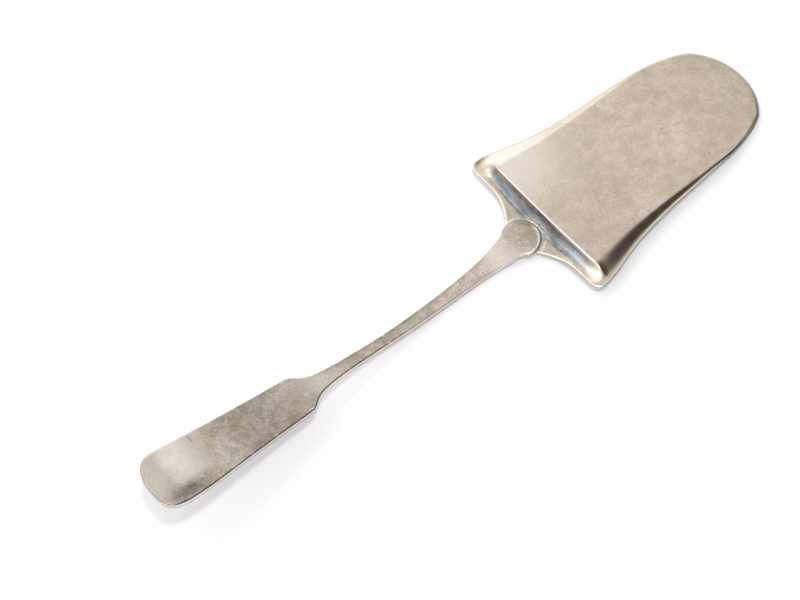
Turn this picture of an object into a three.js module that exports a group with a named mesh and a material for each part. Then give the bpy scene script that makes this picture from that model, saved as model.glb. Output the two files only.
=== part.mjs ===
// A serving spatula in silver: a raised sheet blade, a forged handle lapped on its back, and the
// solder between them. It lies face down, as it rests on a table: on the blade's front edge and
// on the stem. Millimetres, +Z up, +X from the handle's end to the blade's tip. The two sides of
// y = 0 mirror each other, but for a hand-filed end and tongue that lean a little.
import * as THREE from 'three';
import { LoftGeometry } from 'three/addons/geometries/LoftGeometry.js';

// Driving dimensions. "back" is the distance from the blade's tip towards the handle's end,
// "half" is half a width, and a height is measured from the table.
const SHEET = 1.1;
const NOSE = { radius: 25.2, firstAngle: 35, lastAngle: 48 };
const WAIST = { back: 34.5, half: 25.8, slope: 0.049, leave: 4.2, arrive: 11.5 };
const FLARE = [[50, 26.75], [65, 27.75], [80, 29.6], [90, 31.9], [97, 33.9]];
const CORNER = { back: 105.3, half: 35.2, radius: 3.5 };
const CREASE = { back: 103, bow: 0.6, sideBack: 102.4, panelHalf: 26, rimHalf: 35 };
const TRAILING_EDGE = { back: 108.9, flatHalf: 22, sweep: 0.026 };
const PANEL = { creaseHeight: 8.65, slope: 0.047, bendBack: 40, bend: 0.0014 };
const TONGUE = { half: 8.3, footHeight: 3.8, footBack: 106.3, fall: 0.09, aside: 0.6 };
const TONGUE_SIDES = [[114.6, 7.35], [116, 6.75], [117.6, 5.85], [119.5, 5.1], [121.2, 4.5],
  [122.4, 4.1]];
const WING = { height: 5.9, footHeight: 5.95, from: 8.5, to: 27 };
// The wall falls over this share of its run, and the rest is the rim. The back wall's foot is
// this far behind the crease, or this share of the way where the blade is short.
const WALL = { fallShare: 0.8, footRun: 3.3, footShare: 0.62 };
const JOINT = { gap: 0.1, solder: 0.3, fillet: 0.3, back: 122, lapBack: 122.6 };
const HEEL = { back: 114.3, radius: 7.5, firstAngle: 14, lastAngle: 115 };
const NECK_BACKS = [118, 120];
const PADDLE = { aside: -0.12, from: 205, to: 222 };
const PADDLE_END = { back: 274.7, half: 11.2, depth: 9.8, roundness: 0.8, lastAngle: 84,
  lean: -1.8 };
// Radii of the long edges, which turn from the stem's to the paddle's between two backs. None is
// over a share of the thickness.
const EDGE_RADIUS = { heel: 0.4, stem: 0.85, paddle: 0.4, seam: 0.1, turnFrom: 190, turnTo: 225,
  mostShare: 0.45 };

// Width of the wall and rim outside the panel, and how far the rim lies below the panel.
const WALL_RUN = [[0, 1.5], [35, 1.5], [50, 2.4], [60, 2.95], [70, 3.8], [80, 4.75], [90, 6.0],
  [97, 7.5], [103, 9]];
const WALL_DROP = [[0, 0.35], [8, 0.6], [20, 0.8], [32, 0.55], [45, 0.5], [60, 1.15], [75, 1.8],
  [90, 2.35], [103, 2.7]];

// The handle's half widths from the heel to the paddle's end.
const HANDLE_HALF = [[116.6, 6.8], [118, 6.15], [120, 5.45], [123, 4.75], [127, 4.07], [133, 3.35],
  [140, 2.9], [150, 2.57], [162, 2.33], [176, 2.18], [188, 2.28], [200, 2.63], [206, 3.05],
  [210, 3.6], [213, 4.3], [215.5, 5.55], [217.5, 7.05], [219.5, 7.9], [223, 8.2], [230, 8.5],
  [240, 9.05], [250, 9.65], [260, 10.4], [268, 10.98], [274.7, 11.2]];
// Its underside and its upper face, from behind the tongue to the end.
const HANDLE_UNDER = [[122.8, 1.25], [130, 0.7], [140, 0.33], [150, 0.5], [160, 1.15], [170, 2.3],
  [180, 4.2], [200, 8.5], [220, 13.05], [240, 17.4], [260, 21.8], [274, 25.3], [285, 28.3]];
const HANDLE_UPPER = [[106.8, 5.3], [112, 5.3], [117, 4.85], [122.8, 4.05], [130, 3.5],
  [140, 3.2], [150, 3.4], [160, 4.05], [170, 5.15], [180, 6.95], [200, 11.25], [220, 15.7],
  [240, 20.0], [260, 24.4], [274, 28.1], [285, 31.2]];

// How finely the surfaces are divided. Columns are shares of the panel's half width, then of the
// wall. The sections of the handle lie closer together where its outline turns.
const PANEL_COLUMNS = [0, 0.163, 0.327, 0.385, 0.46, 0.56, 0.69, 0.85, 1];
const WALL_COLUMNS = [0.2, 0.4, 0.6, 0.8, 1];
const TONGUE_COLUMNS = 3;
const EDGE_ROWS = { nose: 3, shoulder: 6, flare: 15 };
const SAGGING_ROWS = 7;
const WALL_ROWS = [0.2, 0.4, 0.6, 0.8, 1];
const EDGE_POINTS = 4;
const HEEL_SECTIONS = 11;
const HANDLE_SECTIONS = [{ from: 122.8, to: 134, step: 2.8 }, { from: 134, to: 206, step: 6 },
  { from: 206, to: 220, step: 2 }, { from: 220, to: 274.7, step: 7 }];
const PADDLE_END_SECTIONS = 7;

const mix = THREE.MathUtils.lerp;
const smoothstep = THREE.MathUtils.smoothstep;
const degToRad = THREE.MathUtils.degToRad;

// A smooth function of back through stations of [back, value].
function through(stations) {
  const backs = stations.map((station) => station[0]);
  const curve = new THREE.SplineCurve(stations.map(([back, value]) => new THREE.Vector2(back, value)));
  const steps = stations.length - 1;
  return (back) => {
    const span = THREE.MathUtils.clamp(backs.findIndex((b) => b > back) - 1, 0, steps - 1);
    const last = back >= backs[steps] ? steps - 1 : span;
    const along = (back - backs[last]) / (backs[last + 1] - backs[last]);
    return curve.getPoint((last + THREE.MathUtils.clamp(along, 0, 1)) / steps).y;
  };
}

// A point of the part from its distance behind the tip, its side and its height.
function place(back, side, height) {
  return new THREE.Vector3(-back, side, height);
}

// Height of the flat panel's upper face: a plane that bends down towards the tip.
function panelHeight(back) {
  const plane = PANEL.creaseHeight + PANEL.slope * (back - CREASE.back);
  const ahead = Math.max(0, PANEL.bendBack - back);
  return plane - PANEL.bend * ahead * ahead;
}

// Height of the tongue's upper face, on which the handle's heel is lapped.
function tongueHeight(back) {
  return TONGUE.footHeight - TONGUE.fall * (back - TONGUE.footBack);
}

// How much of a wall's drop is done at t, from 0 at the panel to 1 at the rim.
function wallProfile(t) {
  return smoothstep(t, 0, WALL.fallShare);
}

// From 0 on the tongue's root to 1 out on the wing.
function wingShare(side) {
  return smoothstep(side, WING.from, WING.to);
}

// The blade's edge from the nose to the crease's end, as points of (back, half).
function sideOutline() {
  const points = [];
  const nose = (angle) => new THREE.Vector2(
    NOSE.radius * (1 - Math.cos(angle)), NOSE.radius * Math.sin(angle));
  const [first, last] = [degToRad(NOSE.firstAngle), degToRad(NOSE.lastAngle)];
  for (let i = 0; i < EDGE_ROWS.nose; i++) {
    points.push(nose(mix(first, last, i / EDGE_ROWS.nose)));
  }
  const start = nose(last);
  const { leave, arrive } = WAIST;
  const shoulder = new THREE.CubicBezierCurve(
    start,
    new THREE.Vector2(start.x + leave * Math.sin(last), start.y + leave * Math.cos(last)),
    new THREE.Vector2(WAIST.back - arrive, WAIST.half - WAIST.slope * arrive),
    new THREE.Vector2(WAIST.back, WAIST.half));
  points.push(...shoulder.getPoints(EDGE_ROWS.shoulder).slice(0, -1));
  const flare = new THREE.SplineCurve([
    [WAIST.back, WAIST.half], ...FLARE, [CREASE.sideBack, CREASE.rimHalf],
  ].map(([back, half]) => new THREE.Vector2(back, half)));
  points.push(...flare.getPoints(EDGE_ROWS.flare));
  return points;
}

const wallRun = through(WALL_RUN);
const wallDrop = through(WALL_DROP);

// One half row of the panel and its wall, from the middle to the rim. The first rows sag forward
// in the middle, to meet the round of the nose.
function panelRow(edge, row) {
  const noseDepth = NOSE.radius * (1 - Math.cos(degToRad(NOSE.firstAngle)));
  const sag = noseDepth * Math.max(0, 1 - row / SAGGING_ROWS);
  const panelHalf = edge.y - wallRun(edge.x);
  const shares = [
    ...PANEL_COLUMNS.map((share) => [share * panelHalf, 0]),
    ...WALL_COLUMNS.map((t) => [mix(panelHalf, edge.y, t), t]),
  ];
  return shares.map(([side, t]) => {
    const share = side / edge.y;
    const back = edge.x - sag * (1 - share * share);
    return place(back, side, panelHeight(back) - wallDrop(back) * wallProfile(t));
  });
}

// The half row along the crease, where the panel's back wall starts.
function creaseRow() {
  const { back, bow, panelHalf, rimHalf } = CREASE;
  const onPanel = PANEL_COLUMNS.map((share) => {
    const at = back - bow * share * share;
    return place(at, share * panelHalf, panelHeight(at));
  });
  const onWall = WALL_COLUMNS.map((t) => {
    const side = mix(panelHalf, rimHalf, t);
    const at = CREASE.sideBack;
    return place(at, side, panelHeight(at) - wallDrop(at) * wallProfile(t));
  });
  return [...onPanel, ...onWall];
}

// The half row along the trailing edge: across the tongue's root, out along the wing, and round
// the corner.
function trailingRow() {
  const { back, flatHalf, sweep } = TRAILING_EDGE;
  const height = (at, side) => mix(tongueHeight(at), WING.height, wingShare(side));
  const onWing = PANEL_COLUMNS.map((share, column) => {
    const side = column < TONGUE_COLUMNS
      ? share / PANEL_COLUMNS[TONGUE_COLUMNS - 1] * TONGUE.half
      : share * CREASE.panelHalf;
    const inside = Math.max(0, flatHalf - Math.max(side, TONGUE.half));
    const at = back + sweep * inside * inside;
    return place(at, side, height(at, side));
  });
  const turn = CORNER.half - CORNER.radius;
  const onCorner = WALL_COLUMNS.map((t) => {
    if (t < WALL_COLUMNS[1]) {
      const side = mix(CREASE.panelHalf, turn, 0.5);
      return place(back, side, height(back, side));
    }
    const angle = Math.PI / 2 * (1 - t) / (1 - WALL_COLUMNS[1]);
    const side = turn + CORNER.radius * Math.cos(angle);
    return place(CORNER.back + CORNER.radius * Math.sin(angle), side, WING.height);
  });
  return [...onWing, ...onCorner];
}

// Half rows between the crease and the trailing edge: down the back wall, then along its foot.
function backRows(crease, trailing) {
  const rows = WALL_ROWS.map((drop) => ({ drop, along: 0 }));
  rows.push({ drop: 1, along: 0.5 });
  return rows.map(({ drop, along }) => crease.map((start, column) => {
    const end = trailing[column];
    const length = start.x - end.x;
    const foot = Math.min(WALL.footRun, length * WALL.footShare);
    const share = along ? mix(foot / length, 1, along) : foot * drop / length;
    const side = mix(start.y, end.y, share);
    const footHeight = mix(TONGUE.footHeight, WING.footHeight, wingShare(side));
    const low = Math.min(footHeight, start.z);
    const height = along ? mix(low, end.z, along) : mix(start.z, low, wallProfile(drop));
    return place(-mix(start.x, end.x, share), side, height);
  }));
}

// Half rows of the tongue, which lies under the heel: only its own few columns.
function tongueRows() {
  return TONGUE_SIDES.map(([back, half]) => {
    const columns = PANEL_COLUMNS.slice(0, TONGUE_COLUMNS);
    const widest = columns[TONGUE_COLUMNS - 1];
    return columns.map((share) => place(back, share / widest * half, tongueHeight(back)));
  });
}

// A closed solid from the grid of a sheet's upper face. Rows may be shorter than the first,
// when they keep only its middle columns. The lower face lies one thickness along the normals.
function sheetSolid(rows, thickness) {
  const widest = Math.max(...rows.map((row) => row.length));
  const positions = [];
  const index = rows.map((row) => {
    const cells = new Array(widest).fill(-1);
    const skipped = (widest - row.length) / 2;
    row.forEach((point, column) => {
      cells[skipped + column] = positions.length / 3;
      positions.push(point.x, point.y, point.z);
    });
    return cells;
  });
  const faces = [];
  for (let row = 0; row + 1 < rows.length; row++) {
    for (let column = 0; column + 1 < widest; column++) {
      const [a, b] = [index[row][column], index[row][column + 1]];
      const [d, c] = [index[row + 1][column], index[row + 1][column + 1]];
      if (Math.min(a, b, c, d) < 0) continue;
      faces.push([a, b, c], [a, c, d]);
    }
  }
  const upper = new THREE.BufferGeometry();
  upper.setAttribute('position', new THREE.Float32BufferAttribute(positions, 3));
  upper.setIndex(faces.flat());
  upper.computeVertexNormals();
  const normals = upper.getAttribute('normal').array;
  const count = positions.length / 3;
  const lower = positions.map((value, i) => value - thickness * normals[i]);
  const edges = new Map();
  for (const [a, b, c] of faces) {
    for (const [from, to] of [[a, b], [b, c], [c, a]]) edges.set(`${from} ${to}`, [from, to]);
  }
  const triangles = faces.flatMap(([a, b, c]) => [[a, b, c], [a + count, c + count, b + count]]);
  for (const [from, to] of edges.values()) {
    if (edges.has(`${to} ${from}`)) continue;
    triangles.push([to, from, from + count], [to, from + count, to + count]);
  }
  const solid = new THREE.BufferGeometry();
  solid.setAttribute('position', new THREE.Float32BufferAttribute([...positions, ...lower], 3));
  solid.setIndex(triangles.flat());
  solid.computeVertexNormals();
  return solid;
}

// The other side of a half row is its mirror image.
function wholeRow(half) {
  const mirrored = half.slice(1).map((point) => new THREE.Vector3(point.x, -point.y, point.z));
  return [...mirrored.reverse(), ...half];
}

// The tongue and its root lie a little to one side of the middle line.
function setAside(point) {
  const root = smoothstep(-point.x, CREASE.back, TONGUE.footBack);
  const middle = 1 - smoothstep(Math.abs(point.y), TONGUE.half, 2 * TONGUE.half);
  return place(-point.x, point.y + TONGUE.aside * root * middle, point.z);
}

function bladeGeometry() {
  const outline = sideOutline();
  const panel = outline.slice(0, -1).map(panelRow);
  const crease = creaseRow();
  const trailing = trailingRow();
  const rows = [...panel, crease, ...backRows(crease, trailing), trailing, ...tongueRows()];
  return sheetSolid(rows.map((row) => wholeRow(row).map(setAside)), SHEET);
}

// A cross section: a rectangle with rounded corners, centred at a side of the middle line.
function section({ back, half, side = 0, under, upper, radius }) {
  const ring = [];
  const corner = Math.min(radius, EDGE_RADIUS.mostShare * Math.min(2 * half, upper - under));
  const [left, right] = [side + corner - half, side + half - corner];
  const [low, high] = [under + corner, upper - corner];
  [[right, high], [left, high], [left, low], [right, low]].forEach(([across, height], quarter) => {
    for (let i = 0; i < EDGE_POINTS; i++) {
      const angle = Math.PI / 2 * (quarter + i / (EDGE_POINTS - 1));
      ring.push(place(back, across + corner * Math.cos(angle), height + corner * Math.sin(angle)));
    }
  });
  return ring.reverse();
}

// How far the handle's middle lies to one side.
function aside(back) {
  return PADDLE.aside * smoothstep(back, PADDLE.from, PADDLE.to);
}

// Radius of the handle's long edges.
function edgeRadius(back) {
  const { stem, paddle, turnFrom, turnTo } = EDGE_RADIUS;
  return mix(stem, paddle, smoothstep(back, turnFrom, turnTo));
}

const handleHalf = through(HANDLE_HALF);
const handleUnder = through(HANDLE_UNDER);
const handleUpper = through(HANDLE_UPPER);

// Backs and half widths round the heel's circle, from near its tip to where the stem leaves it.
function heelStations(radius) {
  const stations = [];
  for (let i = 0; i < HEEL_SECTIONS; i++) {
    const angle = degToRad(mix(HEEL.firstAngle, HEEL.lastAngle, i / (HEEL_SECTIONS - 1)));
    stations.push([HEEL.back - radius * Math.cos(angle), radius * Math.sin(angle)]);
  }
  return stations;
}

// Backs and half widths round the paddle's end, with how far each leans to one side.
function paddleEndStations() {
  const { back, half, depth, roundness, lastAngle, lean } = PADDLE_END;
  const stations = [];
  for (let i = 0; i < PADDLE_END_SECTIONS; i++) {
    const angle = degToRad(lastAngle) * i / (PADDLE_END_SECTIONS - 1);
    const along = Math.sin(angle) ** roundness;
    const middle = PADDLE.aside + lean * along * along;
    stations.push([back + depth * along, half * Math.cos(angle) ** roundness, middle]);
  }
  return stations;
}

function handleGeometry() {
  const lapped = heelStations(HEEL.radius);
  for (const back of [...NECK_BACKS, JOINT.lapBack]) lapped.push([back, handleHalf(back)]);
  const free = [];
  for (const { from, to, step } of HANDLE_SECTIONS) {
    for (let back = from; back < to; back += step) free.push([back, handleHalf(back), aside(back)]);
  }
  free.push(...paddleEndStations());
  const sections = lapped.map(([back, half]) => {
    const under = tongueHeight(back) + 2 * JOINT.gap + JOINT.solder;
    return section({ back, half, under, upper: handleUpper(back), radius: EDGE_RADIUS.heel });
  });
  sections.push(...free.map(([back, half, side]) => {
    const [under, upper] = [handleUnder(back), handleUpper(back)];
    return section({ back, half, side, under, upper, radius: edgeRadius(back) });
  }));
  return new LoftGeometry(sections, { capStart: true, capEnd: true });
}

// The solder fills the lap and stands a little proud round the heel as a fillet.
function solderGeometry() {
  const stations = heelStations(HEEL.radius + JOINT.fillet);
  for (const back of [...NECK_BACKS, JOINT.back]) {
    stations.push([back, handleHalf(back) - JOINT.fillet]);
  }
  const sections = stations.map(([back, half]) => {
    const under = tongueHeight(back) + JOINT.gap;
    return section({ back, half, under, upper: under + JOINT.solder, radius: EDGE_RADIUS.seam });
  });
  return new LoftGeometry(sections, { capStart: true, capEnd: true });
}

function piece(name, geometry, color, roughness) {
  const material = new THREE.MeshStandardMaterial({ color, roughness, metalness: 1 });
  const mesh = new THREE.Mesh(geometry, material);
  mesh.name = name;
  return mesh;
}

const model = new THREE.Group();
model.add(
  piece('blade', bladeGeometry(), 0xc6b8a4, 0.34),
  piece('handle', handleGeometry(), 0xbdb2a2, 0.38),
  piece('solder_seam', solderGeometry(), 0xd8d2c2, 0.3));

// The part stands on z = 0, with its origin under the middle of its length.
const box = new THREE.Box3().setFromObject(model);
model.position.set(-(box.min.x + box.max.x) / 2, 0, -box.min.z);
const group = new THREE.Group();
group.add(model);

export default group;
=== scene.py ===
import math

import bpy
import numpy as np
from bpy.props import FloatProperty, FloatVectorProperty, PointerProperty
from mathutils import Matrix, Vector


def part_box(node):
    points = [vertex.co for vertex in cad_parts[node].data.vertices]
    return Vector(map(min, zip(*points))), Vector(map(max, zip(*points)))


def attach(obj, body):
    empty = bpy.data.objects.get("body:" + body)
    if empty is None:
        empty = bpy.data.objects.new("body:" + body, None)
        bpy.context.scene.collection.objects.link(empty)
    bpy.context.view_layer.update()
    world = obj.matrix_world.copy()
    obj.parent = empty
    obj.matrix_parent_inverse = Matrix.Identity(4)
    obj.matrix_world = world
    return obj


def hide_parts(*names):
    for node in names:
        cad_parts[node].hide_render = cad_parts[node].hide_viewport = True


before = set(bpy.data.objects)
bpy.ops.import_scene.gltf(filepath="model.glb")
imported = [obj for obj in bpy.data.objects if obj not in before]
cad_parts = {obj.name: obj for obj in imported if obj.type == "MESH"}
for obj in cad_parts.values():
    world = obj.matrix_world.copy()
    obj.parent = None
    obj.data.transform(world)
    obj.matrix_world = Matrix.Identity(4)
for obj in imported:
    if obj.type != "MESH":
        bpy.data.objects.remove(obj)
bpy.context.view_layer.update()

bl_info = {
    "name": "Silver serving spatula",
    "version": (1, 0, 0),
    "blender": (4, 5, 0),
    "location": "3D View > Sidebar > Spatula",
    "description": "Makes a silver serving spatula's blade, handle and solder, and its stage",
    "category": "Object",
}

# The rules below are in millimetres. "back" is the distance behind the blade's tip, "side" the
# distance from the middle line, and heights are those of the part's own rules, which start a
# little under the table.
MM = 0.001
BLADE_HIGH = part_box("blade")[1]
CREASE_HEIGHT = 8.65
TIP_X = BLADE_HIGH.x / MM
TABLE = CREASE_HEIGHT - BLADE_HIGH.z / MM

# The blade's plan.
NOSE_ANGLE = 48
NOSE_SAG_END = 26
WAIST = {"back": 34.5, "half": 25.8, "slope": 0.049, "leave": 4.2, "arrive": 11.5}
FLARE = [(50, 26.75), (65, 27.75), (80, 29.6), (90, 31.9), (97, 33.9)]
CREASE = {"back": 103, "bow": 0.6, "side_back": 102.4, "panel_half": 26, "rim_half": 35}
CORNER = {"back": 105.3, "half": 35.2, "radius": 3.5, "straight": 0.4}
TRAILING = {"back": 108.9, "flat_half": 22, "sweep": 0.026}
TONGUE = {"half": 8.3, "height": 3.8, "back": 106.3, "fall": 0.09, "aside": 0.6, "end": 122.4}
TONGUE_SIDES = [(113.78, 8.3), (114.6, 7.35), (116, 6.75), (117.6, 5.85), (119.5, 5.1),
                (121.2, 4.5), (122.4, 4.1)]
# Its heights: the wall's width and drop, the flat lip of the rim, the wing, the hollow behind
# the crease, the low swelling in each back corner, and the panel.
WALL_RUN = [(0, 1.2), (30, 1.2), (40, 1.9), (50, 2.5), (60, 3.2), (70, 4.1), (80, 5.2), (90, 6.6),
            (97, 8.0), (103, 9)]
WALL_DROP = [(0, 0.32), (8, 0.45), (20, 0.6), (32, 0.5), (45, 0.5), (60, 1.15), (75, 1.8),
             (90, 2.35), (103, 2.7)]
RIM_FLAT = 0.8
WING = {"height": 5.9, "foot": 5.95, "from": 8.5, "to": 27}
COVE = {"run": 4.6, "share": 0.8, "round": 0.07, "right_round": 0.17, "power": 2.4}
DOME = {"back": 104.5, "side": 29.4, "reach": 4.5, "height": 0.62}
PANEL = {"slope": 0.047, "bend_back": 40, "bend": 0.0014}

# The handle's plan and faces.
HEEL = {"back": 114.3, "radius": 7.5, "first": 44, "last": 115, "fine_to": 0.12,
        "coarse_from": 0.93, "neck_from": 3.6}
NECK = {"solder": 0.5, "end": 122.6}
HANDLE_HALF = [(116.6, 6.8), (118, 6.15), (120, 5.45), (123, 4.75), (127, 4.07), (133, 3.35),
               (140, 2.9), (150, 2.57), (162, 2.33), (176, 2.18), (188, 2.28), (200, 2.63),
               (206, 3.05), (210, 3.6), (213, 4.3), (215.5, 5.55), (217.5, 7.05), (219.5, 7.9),
               (223, 8.2), (230, 8.5), (240, 9.05), (250, 9.65), (260, 10.4), (268, 10.98),
               (274.7, 11.2)]
HANDLE_UNDER = [(122.8, 1.25), (130, 0.7), (140, 0.33), (150, 0.5), (160, 1.15), (170, 2.3),
                (180, 4.2), (200, 8.5), (220, 13.05), (240, 17.4), (260, 21.8), (274, 25.3),
                (285, 28.3)]
HANDLE_UPPER = [(106.8, 5.3), (112, 5.3), (117, 4.85), (122.8, 4.05), (130, 3.5), (140, 3.2),
                (150, 3.4), (160, 4.05), (170, 5.15), (180, 6.95), (200, 11.25), (220, 15.7),
                (240, 20.0), (260, 24.4), (274, 28.1), (285, 31.2)]
PADDLE = {"aside": -0.12, "from": 205, "to": 222}
PADDLE_END = {"back": 274.7, "half": 11.2, "depth": 9.75, "roundness": 0.8, "lean": -1.8,
              "last": 52}
PROFILE = {"first": 100.0, "last": 290.0, "most": 32.0}

# The solder, and the steps that a sheet's body is made in.
SOLDER = {"air": 0.1, "edge": 0.1, "end": 122, "bead_out": 0.6, "bead_up": 0.15}
SHEET = {"chunk": 500, "times_evened": 60, "edge_steps": 6, "pull_in": 4, "clearance": 0.15}

# Finishes: strengths of the clouds, mottle, grain and pits; patches as (attribute, colour, amount,
# roughness); strokes, which are cuts and painted glints, as (from, to, width, light), with places
# as (back, side); scratches as (angle, spacing, length, width, amount, light, attribute). A light
# below 0 darkens.
BLADE_FINISH = {
    "cloud_size": 0.02, "clouds": 0.5, "mottle": 0.17, "grain": 0.17, "rough": 0.3,
    "relief": 0.5, "pit_spacing": 0.004, "pits": 0.45,
    # Besides the blue tarnish in the valley and the darker ledge and seam, these patches paint
    # light and shade: the valley's light streaks, the left wall, the panel, the corners' hot spots,
    # the rim's lip, the crease, the fillet and the upright edges are painted highlights and
    # reflections; the strip behind the crease, the right wall, the left corner, the pocket, the
    # ring round the heel and the edges' undersides are painted shade, the strip and the ring with
    # tarnish too.
    "patches": [("valley", "steel_blue", 0.95, 0.05), ("film", "film", 0.95, 0.05),
                ("ledge", "grime_and_shade", 0.35, 0.05), ("gleam", "highlight_blue", 0.95, -0.05),
                ("strip", "film", 0.55, 0.05), ("worn", "bright", 0.65, 0.0),
                ("flare", "bright", 0.2, 0.0), ("lee", "shade_umber", 0.65, 0.0),
                ("corner", "grime_and_shade", 0.75, 0.0), ("pocket", "grime_and_shade", 1.0, 0.1),
                ("hot", "bright", 1.1, -0.1), ("lap", "tarnish", 0.6, 0.1),
                ("rim", "bright", 0.75, -0.08), ("fold", "bright", 1.2, -0.17),
                ("seam", "grime_and_shade", 0.6, 0.1), ("fillet", "bright", 1.0, -0.05),
                ("edge", "bright", 0.8, -0.05), ("under", "grime_and_shade", 0.85, 0.1)],
    "cuts_and_glints": [((21, 11.5), (23.5, 10.2), 0.12, -0.5), ((66, -7), (67.2, -10), 0.1, -0.4),
             ((84, 12), (88, 13.5), 0.1, 0.4)],
    "scratches": [(0.5, 0.004, 16.0, 0.010, 0.5, 0.14, None),
                  (-0.9, 0.005, 12.0, 0.008, 0.4, -0.2, None),
                  (1.7, 0.006, 20.0, 0.008, 0.45, 0.12, None),
                  (1.45, 0.0009, 9.0, 0.03, 0.8, 0.25, "valley"),
                  (1.5, 0.0007, 8.0, 0.05, 0.9, 0.8, "gleam"),
                  (1.65, 0.0008, 7.0, 0.04, 0.8, -0.6, "gleam")]}
HANDLE_FINISH = {
    "cloud_size": 0.014, "clouds": 0.8, "mottle": 0.26, "grain": 0.36, "rough": 0.34,
    "relief": 0.8, "pit_spacing": 0.0022, "pits": 0.6,
    # Besides the heel's duller tone, these patches paint light and shade: the paddle's middle, the
    # stem's left flank, the paddle's lower end, the inside of the heel's edge, the rounded upper
    # edges, the side of the heel's edge, the line along the paddle's lower edge and the edges'
    # undersides are painted shade, the line with some grime; the paddle's end, neck and shoulder,
    # the light on its end, the heel's bevel and the upright edges are painted highlights and
    # reflections.
    "patches": [("dull", "grime_and_shade", 0.42, 0.04), ("pale", "bright", 0.7, 0.0),
                ("flank", "grime_and_shade", 0.35, 0.0), ("shade", "grime_and_shade", 0.95, 0.06),
                ("glow", "bright", 0.5, -0.04), ("heel", "grime_and_shade", 0.32, 0.08),
                ("dusk", "grime_and_shade", 0.6, 0.0), ("rim", "grime_and_shade", 0.45, 0.0),
                ("bevel", "bright", 1.2, -0.1), ("edge", "bright", 0.85, -0.05),
                ("notch", "grime_and_shade", 0.85, 0.1), ("line", "grime_and_shade", 0.8, 0.1),
                ("under", "grime_and_shade", 0.7, 0.1)],
    # The strokes at the stamped marks and the one at the shoulder are painted glints; the others
    # are scratches and nicks.
    "cuts_and_glints": [((261.1, 9.2), (261.1, 5.9), 0.17, -0.9), ((179.2, 2.2), (180.4, 1.6), 0.3, 0.9),
             ((179.3, -1.9), (180.8, -1.5), 0.3, 0.9), ((219.2, -7.4), (220.8, -7.0), 0.28, 0.9),
             ((236, -8.6), (237.5, -8.3), 0.2, 0.8), ((247.5, -9.2), (248.2, -8.9), 0.2, 0.8),
             ((255, -9.7), (256.8, -9.6), 0.2, 0.8), ((226, 5), (229, 6.6), 0.08, 0.6),
             ((243, -2), (246, 1), 0.07, 0.5)],
    "scratches": [(0.1, 0.0022, 18.0, 0.009, 0.6, 0.35, None),
                  (0.75, 0.0026, 14.0, 0.008, 0.55, 0.35, None),
                  (-0.6, 0.0024, 12.0, 0.008, 0.5, -0.35, None),
                  (1.5, 0.003, 16.0, 0.008, 0.45, -0.3, None)]}
SOLDER_FINISH = {
    "cloud_size": 0.004, "clouds": 0.3, "mottle": 0.1, "grain": 0.1, "rough": 0.26,
    "relief": 0.5, "pit_spacing": 0.0015, "pits": 0.3,
    "patches": [("groove", "grime_and_shade", 0.95, 0.1)], "cuts_and_glints": [],
    "scratches": [(0.4, 0.002, 10.0, 0.015, 0.4, -0.2, None)]}
# The layers of the clouds' pattern: how much finer than the first, its detail and roughness.
CLOUD_LAYERS = {"Mask": (1, 5.0, 0.62), "Mottle": (4.5, 4.0, 0.7), "Grain": (22.0, 3.0, 0.75)}
FINE_LIMITS = (0.36, 0.64)

# The stage, in metres. Lamps: off the zenith by shares of their height across and along the
# camera's view, size, distance, and the setting that gives the power.
LAMPS = {"Front lamp": (0.05, -0.25, 0.17, 1.5, "lamp"),
         "Left lamp": (-0.58, 0.05, 0.4, 1.3, "glint")}
CAMERA_AIM = (-0.02118, 0.01131, 0)
FLOOR_HALF = 30


def linear(colour):
    """A colour as it shows on a screen, from 0 to 255, turned into the values that shaders use."""
    return tuple((c / 255 / 12.92) if c < 10.3 else ((c / 255 + 0.055) / 1.055) ** 2.4
                 for c in colour)


def colour_property(name, description, shown):
    return FloatVectorProperty(name=name, description=description, default=linear(shown),
                               subtype="COLOR", size=3, min=0, max=1)


def length_property(name, description, millimetres):
    return FloatProperty(name=name, description=description, default=millimetres * MM,
                         unit="LENGTH", subtype="DISTANCE", min=0)


def angle_property(name, description, degrees):
    return FloatProperty(name=name, description=description, default=math.radians(degrees),
                         unit="ROTATION", subtype="ANGLE")


def level_property(name, description, level, **options):
    return FloatProperty(name=name, description=description, default=level, min=0, **options)


class BladeSizes(bpy.types.PropertyGroup):
    """Sizes of the sheet blade."""
    sheet: length_property("Sheet", "Thickness of the silver sheet", 1.1)
    edge: length_property("Edge radius", "Radius of the filed edge of the sheet", 0.36)
    nose: length_property("Nose radius", "Radius of the blade's round tip", 25.2)


class HandleSizes(bpy.types.PropertyGroup):
    """Sizes of the forged handle."""
    heel_edge: length_property("Heel edge", "Radius of the heel's upper edge", 0.4)
    stem_edge: length_property("Stem edge", "Radius of the level stem's long edges", 0.3)
    paddle_edge: length_property("Paddle edge", "Radius of the edges further back", 0.6)


class SolderSizes(bpy.types.PropertyGroup):
    """Sizes of the solder between the blade and the heel."""
    film: length_property("Film", "Thickness of the solder in the lap", 0.3)
    proud: length_property("Proud", "How far the film stands out round the heel", 0.3)
    bead: length_property("Bead radius", "Radius of the bead round the heel's front", 0.44)
    reach: angle_property("Reach", "Angle of the bead to each side of the front", 86)


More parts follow.
